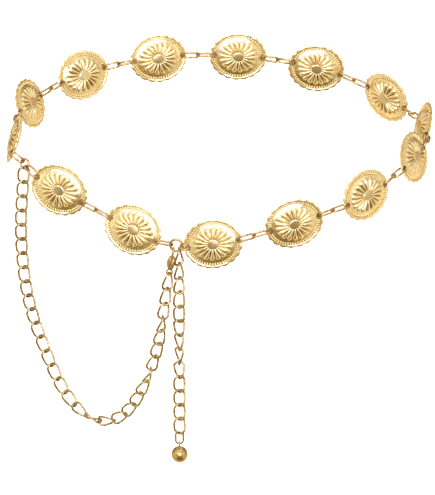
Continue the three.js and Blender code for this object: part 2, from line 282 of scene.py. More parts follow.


# Gold plating. bright and deep are its two tones; the third colour is painted shade for the
# grooves.
goldFinishes = {
    "concho_gold": {
        "bright": (0.98, 0.86, 0.58), "deep": (0.93, 0.76, 0.45), "hollowShade": (0.30, 0.19, 0.06),
        "hollowFrom": 0.54, "hollowTo": 0.70, "rough": 0.09, "roughSpread": 0.10,
        "grainScale": 420, "bumpScale": 1100, "bump": 0.3,
    },
    "link_gold": {
        "bright": (0.74, 0.55, 0.30), "deep": (0.38, 0.25, 0.11), "hollowShade": (0.30, 0.18, 0.05),
        "hollowFrom": 0.6, "hollowTo": 0.95, "rough": 0.08, "roughSpread": 0.08,
        "grainScale": 500, "bumpScale": 1800, "bump": 0.07,
    },
    "chain_gold": {
        "bright": (0.72, 0.59, 0.34), "deep": (0.34, 0.25, 0.12), "hollowShade": (0.30, 0.19, 0.06),
        "hollowFrom": 0.6, "hollowTo": 0.95, "rough": 0.08, "roughSpread": 0.08,
        "grainScale": 500, "bumpScale": 1800, "bump": 0.07,
    },
    "clasp_gold": {
        "bright": (0.78, 0.58, 0.27), "deep": (0.46, 0.31, 0.12), "hollowShade": (0.22, 0.13, 0.03),
        "hollowFrom": 0.55, "hollowTo": 0.85, "rough": 0.17, "roughSpread": 0.14,
        "grainScale": 600, "bumpScale": 2000, "bump": 0.08,
    },
    "ball_gold": {
        "bright": (0.66, 0.50, 0.24), "deep": (0.48, 0.34, 0.14), "hollowShade": (0.26, 0.16, 0.05),
        "hollowFrom": 0.6, "hollowTo": 0.95, "rough": 0.03, "roughSpread": 0.05,
        "grainScale": 350, "bumpScale": 1200, "bump": 0.04,
    },
}

# What all the finishes share: soft patches of tone and of gloss, how strongly painted shade
# fills the grooves, and dull grooves.
goldSurface = {
    "grooveShade": 0.85,
    "grooveDull": 0.25,
    "toneDetail": 3,
    "toneBand": (0.35, 0.65),
    "glossScale": 1.7,
    "glossDetail": 2,
    "glossBand": (0.3, 0.7),
    "bumpDetail": 4,
    "bumpDepth": 0.0001,
}


def makeGold(slot):
    finish = goldFinishes[slot]
    material = bpy.data.materials.new(slot)
    material.use_nodes = True
    nodes, links = material.node_tree.nodes, material.node_tree.links
    shader = nodes["Principled BSDF"]
    shader.inputs["Metallic"].default_value = 1
    place = nodes.new("ShaderNodeTexCoord").outputs["Object"]

    def noise(scale, detail):
        node = nodes.new("ShaderNodeTexNoise")
        node.inputs["Scale"].default_value = scale
        node.inputs["Detail"].default_value = detail
        links.new(place, node.inputs["Vector"])
        return node.outputs["Fac"]

    def remap(value, fromLow, fromHigh, toLow, toHigh):
        node = nodes.new("ShaderNodeMapRange")
        node.clamp = True
        node.inputs["From Min"].default_value = fromLow
        node.inputs["From Max"].default_value = fromHigh
        node.inputs["To Min"].default_value = toLow
        node.inputs["To Max"].default_value = toHigh
        links.new(value, node.inputs["Value"])
        return node.outputs["Result"]

    def mixColour(factor, first, second):
        node = nodes.new("ShaderNodeMix")
        node.data_type = 'RGBA'
        links.new(factor, node.inputs["Factor"])
        for socket, colour in ((node.inputs["A"], first), (node.inputs["B"], second)):
            if isinstance(colour, tuple):
                socket.default_value = (*colour, 1)
            else:
                links.new(colour, socket)
        return node.outputs["Result"]

    def add(first, second):
        node = nodes.new("ShaderNodeMath")
        node.operation = 'ADD'
        node.use_clamp = True
        links.new(first, node.inputs[0])
        links.new(second, node.inputs[1])
        return node.outputs[0]

    surface = goldSurface
    # Painted shade: the groove colour is mixed in where the vertices lie hollow.
    hollowShade = nodes.new("ShaderNodeAttribute")
    hollowShade.attribute_name = "hollowShade"
    paintedGrooveShade = remap(hollowShade.outputs["Fac"], finish["hollowFrom"], finish["hollowTo"],
                     0, surface["grooveShade"])
    tone = remap(noise(finish["grainScale"], surface["toneDetail"]), *surface["toneBand"], 0, 1)
    plated = mixColour(tone, finish["bright"], finish["deep"])
    links.new(mixColour(paintedGrooveShade, plated, finish["hollowShade"]), shader.inputs["Base Color"])
    patchy = remap(noise(finish["grainScale"] * surface["glossScale"], surface["glossDetail"]),
                   *surface["glossBand"], finish["rough"], finish["rough"] + finish["roughSpread"])
    dull = remap(hollowShade.outputs["Fac"], finish["hollowFrom"], 1, 0, surface["grooveDull"])
    links.new(add(patchy, dull), shader.inputs["Roughness"])
    bump = nodes.new("ShaderNodeBump")
    bump.inputs["Strength"].default_value = finish["bump"]
    bump.inputs["Distance"].default_value = surface["bumpDepth"]
    links.new(noise(finish["bumpScale"], surface["bumpDetail"]), bump.inputs["Height"])
    links.new(bump.outputs["Normal"], shader.inputs["Normal"])
    return material


golds = {slot: makeGold(slot) for slot in goldFinishes}
print("gold finishes made")


def finishPiece(piece, slot, *nodes, body="belt"):
    piece.data.materials.clear()
    piece.data.materials.append(golds[slot])
    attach(piece, body)
    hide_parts(*nodes)


# One stamped disc, x along its two holes and z outwards. Lengths and rises are in millimetres,
# and at, from and to in fractions of its half size. Both its faces are alike. petal and lobe
# are how far a ring waves up and down, and swell and reach how far it waves outwards.
concho = {
    "halfWidth": 18,
    "halfHeight": 15.1,
    "halfEdge": 0.38,
    "dome": 2.1,
    "domeEdge": 0.84,
    "petals": 18,
    "columnsPerPetal": 10,
    "lobes": 20,
    "lobeDepth": 0.045,
    "holeFrom": 15.2,
    "holeRadius": 1.6,
    "holeSides": 24,
    "holeShade": 0.02,
    # The holes stop at a thin web across the middle, a sheet painted dark as the hole's shade.
    "shadeWeb": 0.16,
    "punchLength": 4,
    "rings": [
        {"at": 0.165, "rise": 0.27},
        {"at": 0.182, "rise": 0.2},
        {"at": 0.195, "rise": 0.02, "petal": 0.03},
        {"at": 0.22, "rise": 0.06, "petal": 0.18},
        {"at": 0.27, "rise": 0.13, "petal": 0.31},
        {"at": 0.32, "rise": 0.17, "petal": 0.39},
        {"at": 0.37, "rise": 0.20, "petal": 0.44},
        {"at": 0.43, "rise": 0.23, "petal": 0.46},
        {"at": 0.49, "rise": 0.26, "petal": 0.46},
        {"at": 0.535, "rise": 0.27, "petal": 0.44, "swell": 0.01},
        {"at": 0.572, "rise": 0.24, "petal": 0.36, "swell": 0.03},
        {"at": 0.60, "rise": 0.15, "petal": 0.22, "swell": 0.05},
        {"at": 0.618, "rise": -0.07, "petal": 0.03, "swell": 0.055},
        {"at": 0.66, "rise": -0.11},
        {"at": 0.73, "rise": -0.12},
        {"at": 0.765, "rise": -0.10},
        {"at": 0.78, "rise": -0.18},
        {"at": 0.80, "rise": -0.12},
        {"at": 0.83, "rise": -0.04},
        {"at": 0.855, "rise": -0.08},
        {"at": 0.872, "rise": -0.12},
        {"at": 0.89, "rise": 0.06},
        {"at": 0.915, "rise": 0.11, "lobe": 0.04},
        {"at": 0.95, "rise": 0.04, "lobe": 0.07},
        {"at": 0.98, "rise": -0.08, "lobe": 0.05, "reach": 0.8},
        {"at": 1.0, "rise": -0.22, "lobe": 0.02, "reach": 1},
    ],
    # Painted shade: the channel under the rope and the boss are shaded as if they lay this hollow.
    "channel": {"from": 0.785, "to": 0.868, "hollowShade": 0.64},
    "boss": {"to": 0.17, "hollowShade": 0.61, "inset": 0.92, "rise": 0.03},
    "rope": {
        "at": 0.828, "beads": 58, "radial": 0.74, "tangent": 0.52, "height": 0.52,
        "rise": 0.18, "slant": 28, "clearOfHole": 2.1, "beadSides": 8, "beadRings": 6,
    },
    "hollowReach": 0.5,
    "sharpAngle": 42,
}


def conchoHeight(at):
    inwards = min(1, at / concho["domeEdge"])
    return (concho["dome"] * (1 - inwards ** 2) + concho["halfEdge"]) * mm


# Waves one ring of the face, up by lift on its ridges and down between them. A spread above 0
# also moves the ridges out and the rest in, and one below 0 only draws in between the ridges.
def waveRing(face, number, columns, waves, lift, spread):
    steps = columns // waves
    for step in range(steps):
        phase = 360 * step / steps
        ridge = 2 * abs(math.cos(math.radians(phase / 2))) - 1

        def inPhase(vertex):
            inRing = number * columns <= vertex.index < (number + 1) * columns
            return inRing and atPhase(vertex.co.x, vertex.co.y, waves, phase)

        pick(face, inPhase)
        bpy.ops.transform.translate(value=(0, 0, lift * ridge * mm))
        size = 1 + spread * (ridge if spread > 0 else (1 - ridge) / 2)
        growBy(size, size, 1)


def modelConchoFace():
    columns = concho["petals"] * concho["columnsPerPetal"]
    rings, boss = concho["rings"], concho["boss"]
    radius = rings[0]["at"] * concho["halfHeight"] * mm
    height = conchoHeight(rings[0]["at"]) + rings[0]["rise"] * mm
    bpy.ops.mesh.primitive_circle_add(
        vertices=columns, radius=radius, fill_type='NOTHING', location=(0, 0, height))
    face = bpy.context.object
    applyPlace(face)
    editPiece(face)
    bpy.ops.mesh.select_all(action='SELECT')
    for k, ring in enumerate(rings[1:], 1):
        nextHeight = conchoHeight(ring["at"]) + ring["rise"] * mm
        grow = ring["at"] / rings[k - 1]["at"]
        rise = (0, 0, nextHeight - height)
        bpy.ops.mesh.extrude_region_move(TRANSFORM_OT_translate={"value": rise})
        growBy(grow, grow, 1)
        height = nextHeight
    leaveEdit()
    # Out of edit mode the vertices are numbered ring by ring, so each ring can be waved.
    editPiece(face)
    for k, ring in enumerate(rings):
        if "petal" in ring:
            waveRing(face, k, columns, concho["petals"], ring["petal"], ring.get("swell", 0))
        if "lobe" in ring:
            drawIn = -concho["lobeDepth"] * ring.get("reach", 0)
            waveRing(face, k, columns, concho["lobes"], ring["lobe"], drawIn)
    pick(face, lambda vertex: vertex.index < columns)
    bpy.ops.mesh.extrude_region_move(TRANSFORM_OT_translate={"value": (0, 0, boss["rise"] * mm)})
    growBy(boss["inset"], boss["inset"], 1)
    bpy.ops.mesh.edge_face_add()
    bpy.ops.mesh.select_all(action='SELECT')
    bpy.ops.mesh.normals_make_consistent(inside=False)
    leaveEdit()
    return face


def faceUp(piece):
    if sum(polygon.normal.z * polygon.area for polygon in piece.data.polygons) < 0:
        editPiece(piece)
        bpy.ops.mesh.select_all(action='SELECT')
        bpy.ops.mesh.flip_normals()
        leaveEdit()


# Adds the same shape on the other side of the disc's plane.
def doubleThrough(piece):
    editPiece(piece)
    bpy.ops.mesh.select_all(action='SELECT')
    bpy.ops.mesh.duplicate()
    growBy(1, 1, -1)
    bpy.ops.mesh.flip_normals()
    leaveEdit()


def modelRope():
    rope = concho["rope"]
    radius = rope["at"] * concho["halfHeight"] * mm
    height = conchoHeight(rope["at"]) + rope["rise"] * mm
    bpy.ops.mesh.primitive_uv_sphere_add(
        segments=rope["beadSides"], ring_count=rope["beadRings"], radius=mm,
        location=(radius, 0, height), rotation=(0, 0, math.radians(rope["slant"])),
        scale=(rope["radial"], rope["tangent"], rope["height"]))
    beads = bpy.context.object
    applyPlace(beads)
    editPiece(beads)
    bpy.ops.mesh.select_all(action='SELECT')
    copies = rope["beads"] - 1
    turn = 2 * math.pi * copies / rope["beads"]
    bpy.ops.mesh.spin(steps=copies, dupli=True, angle=turn, center=(0, 0, 0), axis=(0, 0, 1))
    leaveEdit()
    return beads


# Beads that would lie over one of the two link holes are left off.
def clearHoles(beads):
    rope = concho["rope"]
    centres = [Vector((side * concho["holeFrom"] * mm, 0)) for side in (-1, 1)]
    editPiece(beads)
    mesh = bmesh.from_edit_mesh(beads.data)
    seen = set()
    for seed in mesh.verts:
        if seed in seen:
            continue
        island, edge = {seed}, [seed]
        while edge:
            for line in edge.pop().link_edges:
                for vertex in line.verts:
                    if vertex not in island:
                        island.add(vertex)
                        edge.append(vertex)
        seen |= island
        middle = sum((vertex.co for vertex in island), Vector()) / len(island)
        over = min((middle.xy - centre).length for centre in centres)
        for vertex in island:
            vertex.select = over < rope["clearOfHole"] * mm
    mesh.select_flush(True)
    bmesh.update_edit_mesh(beads.data)
    bpy.ops.mesh.delete(type='VERT')
    leaveEdit()


# The disc is modelled round, and widened into its oval.
def widen(piece):
    editPiece(piece)
    bpy.ops.mesh.select_all(action='SELECT')
    growBy(concho["halfWidth"] / concho["halfHeight"], 1, 1)
    leaveEdit()


# Painted shade on the disc: the boss and the channel under the rope are painted darker, and
# the punched holes, web included, take the full painted shade of the deepest grooves.
def paintDiscShade(disc):
    markHollows(disc, concho["hollowReach"])
    channel, boss = concho["channel"], concho["boss"]
    hollowShade = disc.data.attributes["hollowShade"].data
    for vertex in disc.data.vertices:
        x, y, _ = vertex.co / mm
        at = math.hypot(x / concho["halfWidth"], y / concho["halfHeight"])
        if at < boss["to"]:
            hollowShade[vertex.index].value = boss["hollowShade"]
        if channel["from"] < at < channel["to"]:
            hollowShade[vertex.index].value = channel["hollowShade"]
        fromHole = math.hypot(abs(x) - concho["holeFrom"], y)
        if fromHole < concho["holeRadius"] + concho["holeShade"]:
            hollowShade[vertex.index].value = 1


def modelConcho():
    disc = modelConchoFace()
    faceUp(disc)
    doubleThrough(disc)
    # The two rims are the only open edges, so they are what non-manifold selects.
    editPiece(disc)
    bpy.ops.mesh.select_all(action='DESELECT')
    bpy.ops.mesh.select_mode(type='EDGE')
    bpy.ops.mesh.select_non_manifold()
    bpy.ops.mesh.bridge_edge_loops()
    bpy.ops.mesh.select_all(action='SELECT')
    bpy.ops.mesh.normals_make_consistent(inside=False)
    leaveEdit()
    widen(disc)
    # Each sheet is punched from its own side, down to a thin web across the middle,
    # a sheet that carries the hole's painted shade so the hole does not show through.
    middle = concho["punchLength"] / 2 + concho["shadeWeb"] / 2
    for side, face in ((-1, -1), (-1, 1), (1, -1), (1, 1)):
        bpy.ops.mesh.primitive_cylinder_add(
            vertices=concho["holeSides"], radius=concho["holeRadius"] * mm,
            depth=concho["punchLength"] * mm,
            location=(side * concho["holeFrom"] * mm, 0, face * middle * mm))
        punch = bpy.context.object
        applyPlace(punch)
        applyModifier(disc, 'BOOLEAN', object=punch, operation='DIFFERENCE', solver='EXACT')
        bpy.data.objects.remove(punch)
    paintDiscShade(disc)
    beads = modelRope()
    doubleThrough(beads)
    widen(beads)
    clearHoles(beads)
    markHollows(beads, concho["hollowReach"] * 2, blurs=0)
    disc = joinPieces([disc, beads], "conchoModel")
    smoothByAngle(disc, concho["sharpAngle"])
    return disc


holes = holesRoundWaist()
conchoModel = modelConcho()
for k, (left, right) in enumerate(holes):
    lean = waistRing["stations"][k]["lean"]
    place = frameAt((left + right) / 2, right - left, up, -lean)
    disc = copyOf(conchoModel, f"disc{k + 1:02d}", place)
    finishPiece(disc, "concho_gold", f"concho_{k + 1:02d}")
print("discs made:", len(holes), "with", len(conchoModel.data.polygons), "faces each")

# Round-wire links in millimetres. Widths and lengths are between the middles of the wire.
# solidGauge is the wire of the solids that these stand for, which sets how far they hook.
# Where the discs' leans differ by more than swapLean, two links change sides.
wireLinks = {
    "solidGauge": 1.1,
    "oval": {"wire": 1.4, "width": 4.7, "roll": 62, "swapLean": 30, "tilt": 20, "kinkBehind": 0.5},
    "frontLength": 10.2,
    "frontRoll": 42,
    "claspRing": {"wire": 1.6, "width": 7.6, "length": 7.6},
    "swagRing": {"wire": 1.4, "width": 6, "length": 6, "roll": -20},
    "curb": {"wire": 1.5, "width": 6.4, "pitch": 9.3, "twist": 33},
    "tailEnd": {"wire": 1.25, "width": 4.6, "length": 8.2, "solidGauge": 1},
    "bendSegments": 28,
    "wireSides": 12,
    "sideCuts": 2,
    "twistedSideCuts": 5,
    "hollowReach": 1.2,
    "sharpAngle": 60,
    "chainSegments": 20,
    "chainSides": 8,
}


# A closed loop of wire from x = 0 to x = length: a ring pulled apart into two straight sides.
# twist turns each of its ends, opposite ways, by that many degrees.
def modelLoop(wire, width, length, segments, sides, twist=0):
    bpy.ops.mesh.primitive_torus_add(
        major_segments=segments, minor_segments=sides, major_radius=width / 2 * mm,
        minor_radius=wire / 2 * mm, rotation=(0, 0, math.pi / segments))
    loop = bpy.context.object
    applyPlace(loop)
    straight = (length - width) / 2 * mm
    editPiece(loop)
    for side in (-1, 1):
        pick(loop, lambda vertex: vertex.co.x * side > 0)
        bpy.ops.transform.translate(value=(side * straight, 0, 0))
    leaveEdit()
    if straight > 0:
        editPiece(loop)
        mesh = bmesh.from_edit_mesh(loop.data)
        for edge in mesh.edges:
            a, b = edge.verts
            edge.select = a.co.x * b.co.x < 0
        bmesh.update_edit_mesh(loop.data)
        bpy.ops.mesh.select_mode(type='EDGE')
        bpy.ops.mesh.subdivide(number_cuts=wireLinks["twistedSideCuts" if twist else "sideCuts"])
        leaveEdit()
    if twist:
        turn = 2 * math.radians(twist) * (length + wire) / length
        applyModifier(loop, 'SIMPLE_DEFORM', deform_method='TWIST', deform_axis='X', angle=turn)
    editPiece(loop)
    bpy.ops.mesh.select_all(action='SELECT')
    bpy.ops.transform.translate(value=(length / 2 * mm, 0, 0))
    leaveEdit()
    markHollows(loop, wireLinks["hollowReach"])
    smoothByAngle(loop, wireLinks["sharpAngle"])
    return loop


def modelPlainLoop(shape, length):
    segments, sides = wireLinks["bendSegments"], wireLinks["wireSides"]
    return modelLoop(shape["wire"], shape["width"], length, segments, sides)


# The link before the swag ring leaves its disc squarely, one side through the disc's hole and
# one past its rim.
def kinkedFrame(disc, along, length):
    oval, ring = wireLinks["oval"], wireLinks["swagRing"]
    left, right = disc
    across = left - right
    across = (across - along * across.dot(along)).normalized()
    start = right - across * oval["width"] / 2 * mm - along * oval["kinkBehind"] * mm
    hooked = length - wireLinks["solidGauge"] - clearance
    ringStart = right + along * (waistRing["swagGap"] - hooked - ring["length"]) * mm
    return frameAt(start, ringStart - start, across)


# Two equal oval links, turned opposite ways, join each disc to the next. Both tilt back at
# the front of the waist and forwards at its back.
def addOvalLinks():
    oval = wireLinks["oval"]
    length = (waistRing["gapChord"] + wireLinks["solidGauge"] + clearance) / 2
    model = modelPlainLoop(oval, length)
    for k in range(len(holes) - 1):
        start, end = holes[k][1], holes[k + 1][0]
        along = (end - start).normalized()
        tilt = oval["tilt"] * along.x
        leans = [waistRing["stations"][k + step]["lean"] for step in (0, 1)]
        roll = -oval["roll"] if leans[1] - leans[0] > oval["swapLean"] else oval["roll"]
        first = frameAt(start, along, up, roll - tilt - leans[0])
        second = frameAt(end - along * length * mm, along, up, -roll - tilt - leans[1])
        if k == waistRing["swagDisc"] - 2:
            first = kinkedFrame(holes[k], along, length)
        for side, place in (("a", first), ("b", second)):
            link = copyOf(model, f"ovalLink{k + 1:02d}{side}", place)
            finishPiece(link, "link_gold", f"link_{k + 1:02d}_{side}")
    bpy.data.objects.remove(model)


# Link, clasp ring and end ring close the gap between the last disc and the first. Gives back
# a function for places on the clasp ring, where turn is 0 at its bottom, in degrees.
def addFastening():
    oval, ring = wireLinks["oval"], wireLinks["claspRing"]
    start, end = holes[-1][1], holes[0][0]
    along = (end - start).normalized()
    overlap = wireLinks["solidGauge"] + clearance
    ringStart = start + along * (wireLinks["frontLength"] - overlap) * mm
    endStart = ringStart + along * (ring["length"] - overlap) * mm
    endLength = (end - endStart).length / mm

    def addLoop(name, node, slot, shape, length, origin, roll):
        model = modelPlainLoop(shape, length)
        piece = copyOf(model, name, frameAt(origin, along, up, roll))
        bpy.data.objects.remove(model)
        finishPiece(piece, slot, node)

    addLoop("frontLink", "front_link", "link_gold", oval, wireLinks["frontLength"], start,
            wireLinks["frontRoll"])
    addLoop("claspRing", "clasp_ring", "clasp_gold", ring, ring["length"], ringStart, 0)
    addLoop("endRing", "end_ring", "link_gold", oval, endLength, endStart, -oval["roll"])
    radius = ring["length"] / 2 * mm
    middle = ringStart + along * radius
    ringUp = (up - along * up.dot(along)).normalized()

    def onRing(turn):
        angle = math.radians(turn)
        return middle + along * radius * math.sin(angle) - ringUp * radius * math.cos(angle)

    return onRing


# The lobster clasp in millimetres: hook at the top, ridged body, eye at the bottom. turn is
# where on the clasp ring it hangs.
lobster = {
    "turn": -22,
    "leanLeft": 10,
    "leanForward": 8,
    "loop": {"wire": 1.2, "width": 4.4, "length": 7},
    "body": [
        {"radius": 0.9, "drop": 3.3}, {"radius": 1.55, "drop": 4}, {"radius": 2.15, "drop": 5},
        {"radius": 2.6, "drop": 6.2}, {"radius": 2.75, "drop": 7.6}, {"radius": 2.6, "drop": 9.2},
        {"radius": 2.1, "drop": 10.8}, {"radius": 1.45, "drop": 12}, {"radius": 0.95, "drop": 12.7},
    ],
    "bodyReach": 0.35,
    "bodySharpAngle": 50,
    "ridges": {"count": 9, "sides": 6, "from": 4, "to": 12.3, "depth": 0.16, "twist": 75},
    "eye": {"wire": 1.1, "width": 3.2, "length": 3.6, "drop": 12},
    "lever": {
        "from": 3.4, "to": 8.6, "out": 2.15, "width": 1.1, "thick": 0.7, "cuts": 3,
        "thumbFrom": 0.6, "thumbRise": 0.7, "reach": 1, "sharpAngle": 60,
    },
}


# The body lies along +x here, its rings from hook to eye, with ridges pressed in between.
def modelLobsterBody():
    rings, ridges = lobster["body"], lobster["ridges"]
    bpy.ops.mesh.primitive_circle_add(
        vertices=ridges["count"] * ridges["sides"], radius=rings[0]["radius"] * mm,
        fill_type='NOTHING', location=(rings[0]["drop"] * mm, 0, 0), rotation=(0, math.pi / 2, 0))
    body = bpy.context.object
    applyPlace(body)
    editPiece(body)
    bpy.ops.mesh.select_all(action='SELECT')
    for ring, nextRing in zip(rings, rings[1:]):
        along = ((nextRing["drop"] - ring["drop"]) * mm, 0, 0)
        bpy.ops.mesh.extrude_region_move(TRANSFORM_OT_translate={"value": along})
        grow = nextRing["radius"] / ring["radius"]
        growBy(1, grow, grow)
    bpy.ops.mesh.select_all(action='DESELECT')
    bpy.ops.mesh.select_mode(type='EDGE')
    bpy.ops.mesh.select_non_manifold()
    bpy.ops.mesh.edge_face_add()
    bpy.ops.mesh.fill_holes(sides=0)
    bpy.ops.mesh.select_mode(type='VERT')
    for step in range(ridges["sides"]):
        phase = 360 * step / ridges["sides"]
        size = 1 - ridges["depth"] * (1 - abs(math.cos(math.radians(phase / 2))))

        def inPhase(vertex):
            ridged = ridges["from"] * mm < vertex.co.x < ridges["to"] * mm
            return ridged and atPhase(vertex.co.y, vertex.co.z, ridges["count"], phase)

        pick(body, inPhase)
        growBy(1, size, size)
    bpy.ops.mesh.select_all(action='SELECT')
    bpy.ops.mesh.normals_make_consistent(inside=False)
    leaveEdit()
    applyModifier(body, 'SUBSURF', levels=1, render_levels=1)
    applyModifier(body, 'SIMPLE_DEFORM', deform_method='TWIST', deform_axis='X',
                  angle=math.radians(ridges["twist"]))
    markHollows(body, lobster["bodyReach"])
    smoothByAngle(body, lobster["bodySharpAngle"])
    return body


# The thumb lever, with its thumb end raised.
def modelLever():
    lever = lobster["lever"]
    middle = (lever["from"] + lever["to"]) / 2
    length = (lever["to"] - lever["from"]) / 2
    bpy.ops.mesh.primitive_cube_add(
        size=2 * mm, location=(middle * mm, lever["out"] * mm, 0),
        scale=(length, lever["thick"] / 2, lever["width"] / 2))
    made = bpy.context.object
    applyPlace(made)
    editPiece(made)
    bpy.ops.mesh.select_all(action='SELECT')
    bpy.ops.mesh.subdivide(number_cuts=lever["cuts"])
    thumbTo, top = (middle - length * lever["thumbFrom"]) * mm, lever["out"] * mm
    pick(made, lambda vertex: vertex.co.x < thumbTo and vertex.co.y > top)
    bpy.ops.transform.translate(value=(0, lever["thumbRise"] * mm, 0))
    leaveEdit()
    applyModifier(made, 'SUBSURF', levels=2, render_levels=2)
    markHollows(made, lever["reach"])
    smoothByAngle(made, lever["sharpAngle"])
    return made


def addLobster(hook):
    loop, eye = lobster["loop"], lobster["eye"]
    reach = (wireLinks["solidGauge"] + loop["wire"]) / 2 + clearance
    hookLoop = modelPlainLoop(loop, loop["length"])
    hookLoop.data.transform(Matrix.Translation((-reach * mm, 0, 0)))
    eyeLoop = modelPlainLoop(eye, eye["length"])
    eyePlace = Matrix.Translation((eye["drop"] * mm, 0, 0))
    eyeLoop.data.transform(eyePlace @ Matrix.Rotation(math.pi / 2, 4, 'X'))
    clasp = joinPieces([hookLoop, modelLobsterBody(), modelLever(), eyeLoop], "lobsterClasp")
    leans = [math.tan(math.radians(lobster[key])) for key in ("leanLeft", "leanForward")]
    along = Vector((-leans[0], -leans[1], -1))
    place = frameAt(hook, along, front)
    clasp.data.transform(place)
    finishPiece(clasp, "clasp_gold", "lobster_clasp")
    return place @ Vector(((eye["drop"] + eye["length"]) * mm, 0, 0))


# A jump ring between the two links at the left side carries the swag at its lowest point,
# which is given back.
def addSwagRing():
    ring, disc = wireLinks["swagRing"], waistRing["swagDisc"]
    start, end = holes[disc - 2][1], holes[disc - 1][0]
    along = (end - start).normalized()
    hooked = (waistRing["gapChord"] - wireLinks["solidGauge"] - clearance) / 2
    ringStart = end - along * (hooked + ring["length"]) * mm
    place = frameAt(ringStart, along, up, ring["roll"])
    model = modelPlainLoop(ring, ring["length"])
    piece = copyOf(model, "swagRing", place)
    bpy.data.objects.remove(model)
    finishPiece(piece, "link_gold", "swag_ring")
    facing = place.col[2].to_3d()
    lowest = (down - facing * down.dot(facing)).normalized()
    return ringStart + (along + lowest) * ring["length"] / 2 * mm


addOvalLinks()
onClaspRing = addFastening()
print("links and fastening made")
swagLeft = addSwagRing()
swagRight = addLobster(onClaspRing(lobster["turn"]))
print("lobster clasp and swag ring made")

# The two curb chains. stretches are the links of each solid, rolls are (link, degrees) about
# the chain, path is the swag's way in millimetres, and turn is where on the clasp ring the
# tail hangs. touch is how far neighbouring wires press together, in millimetres.
curbChains = {
    "swag": {
        "stretches": [6, 5, 4, 4, 4, 4, 5],
        "path": [
            (-123, -52, -40), (-120, -51, -80), (-113, -51, -108), (-97, -58, -145),
            (-84, -64, -157), (-73, -68.5, -158.5), (-62, -73, -151.5), (-50, -78.5, -131),
            (-41, -83, -102), (-37, -87, -75),
        ],
        "rolls": [
            (0, 0), (16, 0), (17, 20), (18, 65), (19, 20), (20, 0), (22, 0), (23, 20), (24, 65),
            (25, 20), (26, 5), (27, 20), (28, 60), (29, 20), (31, 40),
        ],
    },
    "tail": {
        "turn": 30,
        "stretches": [5, 4, 4],
        "rolls": [(0, -60), (1, -50), (4, 0), (6, 50), (7, 60), (9, 0), (12, 0)],
    },
    "touch": 0.05,
}


def addChain(name, joints, model, modelLength):
    curb, chain = wireLinks["curb"], curbChains[name]
    past = (curb["wire"] + curbChains["touch"]) / 2 * mm
    k = 0
    for number, count in enumerate(chain["stretches"], 1):
        links = []
        for _ in range(count):
            along = (joints[k + 1] - joints[k]).normalized()
            length = (joints[k + 1] - joints[k]).length + 2 * past
            roll = rollAt(chain["rolls"], k)
            place = frameAt(joints[k] - along * past, along, front.cross(along), roll)
            stretch = Matrix.Diagonal((length / modelLength, 1, 1, 1))
            links.append(copyOf(model, f"{name}Link", place @ stretch))
            k += 1
        piece = joinPieces(links, f"{name}Chain{number:02d}")
        finishPiece(piece, "chain_gold", f"{name}_{number:02d}")


def addChains():
    curb = wireLinks["curb"]
    lift = up * (wireLinks["solidGauge"] + clearance) / 2 * mm
    length = curb["pitch"] + curb["wire"] + curbChains["touch"]
    model = modelLoop(curb["wire"], curb["width"], length, wireLinks["chainSegments"],
                      wireLinks["chainSides"], curb["twist"])
    swag = curbChains["swag"]
    path = [Vector(point) * mm for point in swag["path"]]
    points = [swagLeft + lift, *path, swagRight + lift]
    addChain("swag", spacedPoints(points, sum(swag["stretches"])), model, length * mm)
    tail = curbChains["tail"]
    start = onClaspRing(tail["turn"]) + lift
    count = sum(tail["stretches"])
    joints = [start + down * curb["pitch"] * mm * k for k in range(count + 1)]
    addChain("tail", joints, model, length * mm)
    bpy.data.objects.remove(model)
    end = wireLinks["tailEnd"]
    top = joints[-1] + up * (end["solidGauge"] + clearance) / 2 * mm
    model = modelPlainLoop(end, end["length"])
    piece = copyOf(model, "tailEndLink", frameAt(top, down, Vector((1, 0, 0))))
    bpy.data.objects.remove(model)
    finishPiece(piece, "chain_gold", "tail_end_link")
    return top + down * end["length"] * mm


pivot = addChains()
print("curb chains made, the ball's pivot is", [round(value, 5) for value in pivot])

# The end ball in millimetres, with the seam where its two halves meet, its collar and its eye.
endBall = {
    "radius": 5,
    "below": 7.1,
    "segments": 64,
    "rings": 48,
    "seam": {"depth": 0.06, "bevel": 0.22, "lineWithin": 0.05, "floorWithin": 0.03},
    "reach": 0.3,
    "sharpAngle": 40,
    "eye": {"wire": 0.9, "width": 3, "length": 3.4},
    "collar": {
        "radius": 1.25, "height": 0.5, "above": 4.85, "sides": 32, "bevel": 0.15, "reach": 1,
    },
}


def addBall():
    seam, eye, collar = endBall["seam"], endBall["eye"], endBall["collar"]
    middle = pivot + down * endBall["below"] * mm
    bpy.ops.mesh.primitive_uv_sphere_add(
        segments=endBall["segments"], ring_count=endBall["rings"], radius=endBall["radius"] * mm)
    ball = bpy.context.object
    editPiece(ball)
    pick(ball, lambda vertex: abs(vertex.co.z) < seam["lineWithin"] * mm)
    bpy.ops.mesh.bevel(offset=seam["bevel"] * mm, segments=2, affect='EDGES')
    pick(ball, lambda vertex: abs(vertex.co.z) < seam["floorWithin"] * mm)
    size = 1 - seam["depth"] / endBall["radius"]
    growBy(size, size, 1)
    leaveEdit()
    ball.data.transform(Matrix.Translation(middle))
    markHollows(ball, endBall["reach"])
    smoothByAngle(ball, endBall["sharpAngle"])
    bpy.ops.mesh.primitive_cylinder_add(
        vertices=collar["sides"], radius=collar["radius"] * mm, depth=collar["height"] * mm,
        location=middle + up * collar["above"] * mm)
    ferrule = bpy.context.object
    applyPlace(ferrule)
    applyModifier(ferrule, 'BEVEL', width=collar["bevel"] * mm, segments=3, limit_method='ANGLE')
    markHollows(ferrule, collar["reach"])
    smoothByAngle(ferrule, endBall["sharpAngle"])
    hooked = (wireLinks["tailEnd"]["solidGauge"] + eye["wire"]) / 2 + clearance
    eyeLoop = modelPlainLoop(eye, eye["length"])
    eyeLoop.data.transform(frameAt(pivot + up * hooked * mm, down, front))
    made = joinPieces([ball, ferrule, eyeLoop], "endBall")
    finishPiece(made, "ball_gold", "end_ball", body="ball")


addBall()
bpy.data.objects.remove(conchoModel)
print("end ball made")

